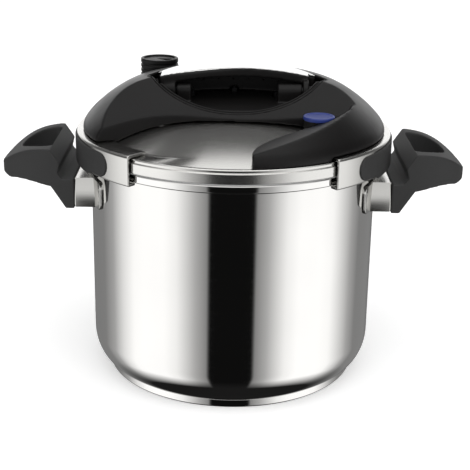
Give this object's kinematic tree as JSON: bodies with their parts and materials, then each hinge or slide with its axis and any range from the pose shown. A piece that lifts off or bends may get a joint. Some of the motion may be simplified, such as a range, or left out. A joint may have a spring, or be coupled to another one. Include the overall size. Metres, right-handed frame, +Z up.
{
  "type": "pressure canner",
  "caption": "Stainless steel pressure canner with a jaw-clamped lid, folding arch handle, turning valve, push button and looped side handles.",
  "frame": {"origin": "centre of the flat base, on the surface that it stands on", "axes": "+Z up; +X towards the right-hand side handle; -Y towards the front, where the cover leaves the steel lid open to view"},
  "size_m": [0.39, 0.256, 0.2565],
  "materials": {
    "polished_steel": "mirror-polished stainless steel",
    "satin_steel": "satin stainless steel",
    "trim_steel": "polished stainless steel trim",
    "plain_steel": "plain turned or pressed steel",
    "core_aluminium": "plain rolled aluminium",
    "black_phenolic": "moulded black phenolic, satin",
    "black_nylon": "moulded black glass-filled nylon, fine matt texture",
    "blue_plastic": "moulded blue plastic, satin gloss",
    "grey_silicone": "moulded silicone, matt"
  },
  "bodies": {
    "pot": {"pot_body": "polished_steel", "base_core": "core_aluminium", "base_cap": "polished_steel", "flange_plate_left": "satin_steel", "flange_plate_right": "satin_steel", "bracket_left": "satin_steel", "bracket_right": "satin_steel", "bracket_boss_left": "plain_steel", "bracket_boss_right": "plain_steel", "side_handle_left": "black_phenolic", "side_handle_right": "black_phenolic", "handle_screw_left": "plain_steel", "handle_screw_right": "plain_steel"},
    "lid": {"lid_shell": "polished_steel", "gasket": "grey_silicone", "cover": "black_nylon", "finger_well": "black_nylon", "cover_studs": "plain_steel", "cover_nuts": "plain_steel", "valve_nozzle": "plain_steel", "nozzle_seal": "grey_silicone", "nozzle_nut": "plain_steel", "button_guide": "plain_steel", "button_spring": "plain_steel", "guide_nut": "plain_steel", "safety_valve": "plain_steel", "safety_nut": "plain_steel", "hinge_pin_left": "plain_steel", "hinge_pin_right": "plain_steel", "hinge_plate_left": "plain_steel", "hinge_plate_right": "plain_steel"},
    "folding_handle": {"arch_handle": "black_nylon", "arch_trim": "trim_steel", "cam_drum_left": "plain_steel", "cam_drum_right": "plain_steel"},
    "left_jaw": {"jaw_left": "satin_steel", "jaw_insert_left": "black_nylon", "jaw_arm_left": "plain_steel", "jaw_rivets_left": "plain_steel", "follower_left": "plain_steel"},
    "right_jaw": {"jaw_right": "satin_steel", "jaw_insert_right": "black_nylon", "jaw_arm_right": "plain_steel", "jaw_rivets_right": "plain_steel", "follower_right": "plain_steel"},
    "valve": {"valve_cap": "black_phenolic", "valve_seat": "plain_steel"},
    "button": {"button_cap": "blue_plastic", "button_body": "black_nylon"}
  },
  "joints": [
    {"name": "lid_lift", "type": "slide", "parent": "pot", "child": "lid", "axis": [0, 0, 1], "range_m": [0, 0.1]},
    {"name": "handle_fold", "type": "hinge", "parent": "lid", "child": "folding_handle", "pos_m": [0, 0.005, 0.238], "axis": [1, 0, 0], "range_deg": [0, 90]},
    {"name": "left_jaw_slide", "type": "slide", "parent": "lid", "child": "left_jaw", "axis": [-1, 0, 0], "range_m": [0, 0.00751]},
    {"name": "right_jaw_slide", "type": "slide", "parent": "lid", "child": "right_jaw", "axis": [1, 0, 0], "range_m": [0, 0.00751]},
    {"name": "valve_turn", "type": "hinge", "parent": "lid", "child": "valve", "pos_m": [-0.067, 0.07, 0.24], "axis": [0, 0, 1], "range_deg": [-60, 60]},
    {"name": "button_press", "type": "slide", "parent": "lid", "child": "button", "axis": [0, 0, -1], "range_m": [0, 0.003], "stiffness_N_per_m": 400, "springref_m": -0.005, "deforming": ["button_spring"]}
  ],
  "couplings": [
    {"joint": "left_jaw_slide", "follows": "handle_fold", "m_per_rad": 0.0047746},
    {"joint": "right_jaw_slide", "follows": "handle_fold", "m_per_rad": 0.0047746}
  ]
}
